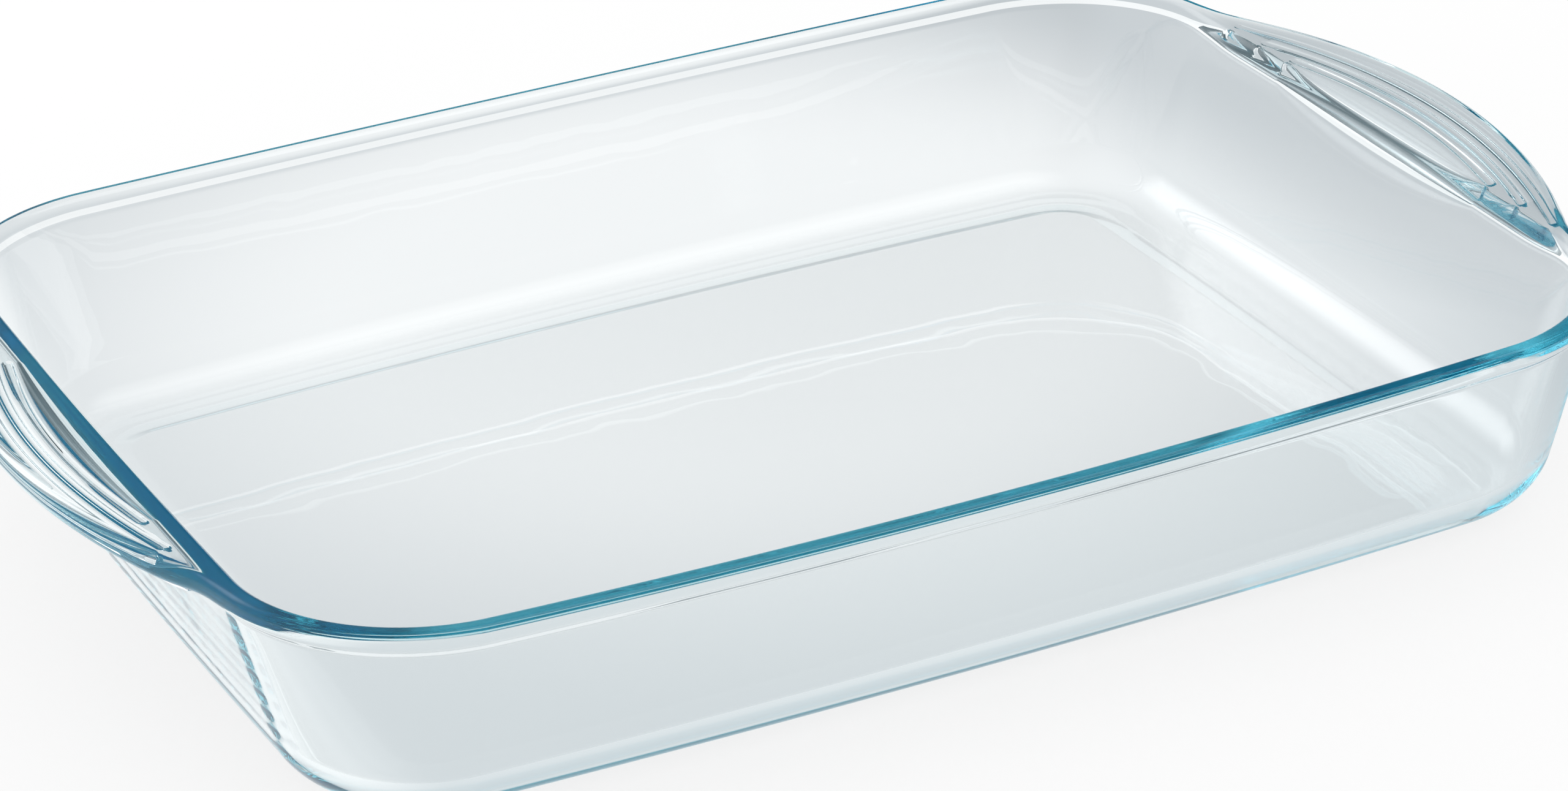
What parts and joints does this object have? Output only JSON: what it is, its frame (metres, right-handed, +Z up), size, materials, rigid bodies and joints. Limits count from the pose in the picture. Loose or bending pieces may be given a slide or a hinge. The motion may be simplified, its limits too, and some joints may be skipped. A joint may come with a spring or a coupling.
{
  "type": "glass roasting dish",
  "caption": "Rectangular clear glass roasting dish with sloping walls, rounded corners, a rounded rim and a wide lug handle with curved grip ribs at each short end.",
  "frame": {"origin": "middle of the underside, level with the foot ring that the dish stands on", "axes": "+X along the dish towards the right handle, +Y towards the back long side, +Z up"},
  "size_m": [0.4, 0.274, 0.0593],
  "materials": {
    "glass": "clear fire-polished pressed glass, blue-green in thick edges"
  },
  "bodies": {
    "root": {"floor_panel": "glass", "front_wall": "glass", "back_wall": "glass", "left_end_wall": "glass", "right_end_wall": "glass", "front_left_corner": "glass", "front_right_corner": "glass", "back_left_corner": "glass", "back_right_corner": "glass", "left_handle": "glass", "right_handle": "glass"}
  },
  "joints": []
}
